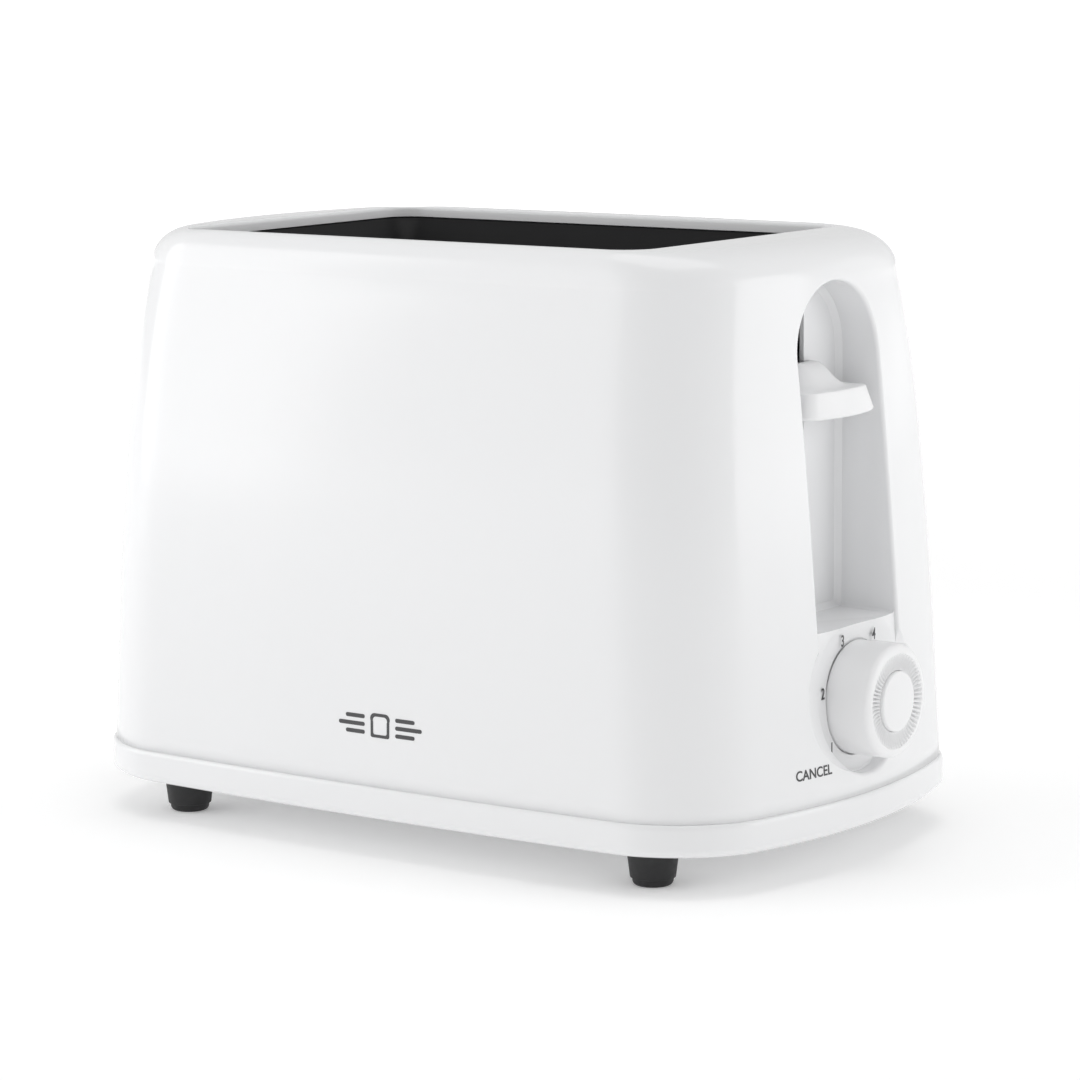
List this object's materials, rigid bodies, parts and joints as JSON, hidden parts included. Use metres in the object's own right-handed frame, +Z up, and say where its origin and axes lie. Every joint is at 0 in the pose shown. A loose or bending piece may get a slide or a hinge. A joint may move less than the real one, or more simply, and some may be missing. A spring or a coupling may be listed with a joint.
{
  "type": "pop up toaster",
  "caption": "Pop-up toaster with bread slots under a top opening, a lever in an end recess, a browning knob with a cancel button, and a slide-out crumb tray.",
  "frame": {"origin": "on the surface that the feet stand on, under the middle of the overall box", "axes": "+X along the body towards the lever and browning knob, -Y towards the front face, +Z up"},
  "size_m": [0.26, 0.1546, 0.1798],
  "materials": {
    "white_plastic": "gloss",
    "knob_plastic": "satin",
    "black_coated_steel": "satin",
    "galvanised_steel": "satin",
    "bright_steel": "polished",
    "black_rubber": "matte",
    "mica_board": "matte",
    "nichrome_ribbon": "satin",
    "copper_winding": "satin",
    "circuit_board": "satin",
    "black_plastic": "satin"
  },
  "bodies": {
    "chassis": {"base": "white_plastic", "base_screw_back_left": "bright_steel", "base_screw_back_right": "bright_steel", "base_screw_front_left": "bright_steel", "base_screw_front_right": "bright_steel", "browning_potentiometer": "black_plastic", "cancel_switch": "black_plastic", "contact_block": "black_plastic", "control_board": "circuit_board", "cord_gland": "black_plastic", "electromagnet_coil": "copper_winding", "electromagnet_core": "galvanised_steel", "element_board_back": "mica_board", "element_board_front": "mica_board", "element_board_middle": "mica_board", "end_plate_left": "galvanised_steel", "end_plate_right": "galvanised_steel", "foot_back_left": "black_rubber", "foot_back_right": "black_rubber", "foot_front_left": "black_rubber", "foot_front_right": "black_rubber", "guide_rod": "bright_steel", "heat_shield_back": "bright_steel", "heat_shield_front": "bright_steel", "heating_ribbon_back": "nichrome_ribbon", "heating_ribbon_front": "nichrome_ribbon", "heating_ribbon_middle_back": "nichrome_ribbon", "heating_ribbon_middle_front": "nichrome_ribbon", "housing": "white_plastic", "return_spring": "bright_steel", "slot_plate": "black_coated_steel", "terminal_block": "mica_board"},
    "lever_carriage": {"lever_knob": "knob_plastic", "carriage_bracket": "galvanised_steel", "bread_lifter_front": "bright_steel", "bread_lifter_back": "bright_steel", "magnet_keeper": "bright_steel"},
    "browning_dial": {"browning_knob": "knob_plastic", "browning_shaft": "black_plastic"},
    "cancel_push": {"cancel_button": "knob_plastic"},
    "crumb_drawer": {"crumb_tray": "galvanised_steel"},
    "guard_front_outer": {"bread_guard_front_outer": "bright_steel"},
    "guard_front_inner": {"bread_guard_front_inner": "bright_steel"},
    "guard_back_inner": {"bread_guard_back_inner": "bright_steel"},
    "guard_back_outer": {"bread_guard_back_outer": "bright_steel"}
  },
  "joints": [
    {"name": "lever_slide", "type": "slide", "parent": "chassis", "child": "lever_carriage", "axis": [0, 0, 1], "range_m": [-0.05, 0.012], "stiffness_N_per_m": 45, "springref_m": 0.02, "deforming": ["return_spring"]},
    {"name": "browning_turn", "type": "hinge", "parent": "chassis", "child": "browning_dial", "pos_m": [0.11615, 0, 0.0487], "axis": [1, 0, 0], "range_deg": [-108, 162]},
    {"name": "cancel_press", "type": "slide", "parent": "chassis", "child": "cancel_push", "axis": [-1, 0, 0], "range_m": [0, 0.0022], "stiffness_N_per_m": 400, "springref_m": -0.001},
    {"name": "crumb_tray_slide", "type": "slide", "parent": "chassis", "child": "crumb_drawer", "axis": [-1, 0, 0], "range_m": [0, 0.2]},
    {"name": "guard_front_outer_hinge", "type": "hinge", "parent": "chassis", "child": "guard_front_outer", "pos_m": [-0.00425, -0.0376, 0.034], "axis": [-1, 0, 0], "range_deg": [-0.9, 3.6]},
    {"name": "guard_front_inner_hinge", "type": "hinge", "parent": "chassis", "child": "guard_front_inner", "pos_m": [-0.00425, -0.0074, 0.034], "axis": [1, 0, 0], "range_deg": [-0.9, 3.6]},
    {"name": "guard_back_inner_hinge", "type": "hinge", "parent": "chassis", "child": "guard_back_inner", "pos_m": [-0.00425, 0.0074, 0.034], "axis": [-1, 0, 0], "range_deg": [-0.9, 3.6]},
    {"name": "guard_back_outer_hinge", "type": "hinge", "parent": "chassis", "child": "guard_back_outer", "pos_m": [-0.00425, 0.0376, 0.034], "axis": [1, 0, 0], "range_deg": [-0.9, 3.6]}
  ],
  "couplings": [
    {"joint": "guard_front_outer_hinge", "follows": "lever_slide", "rad_per_m": -1.222},
    {"joint": "guard_front_inner_hinge", "follows": "lever_slide", "rad_per_m": -1.222},
    {"joint": "guard_back_inner_hinge", "follows": "lever_slide", "rad_per_m": -1.222},
    {"joint": "guard_back_outer_hinge", "follows": "lever_slide", "rad_per_m": -1.222}
  ]
}
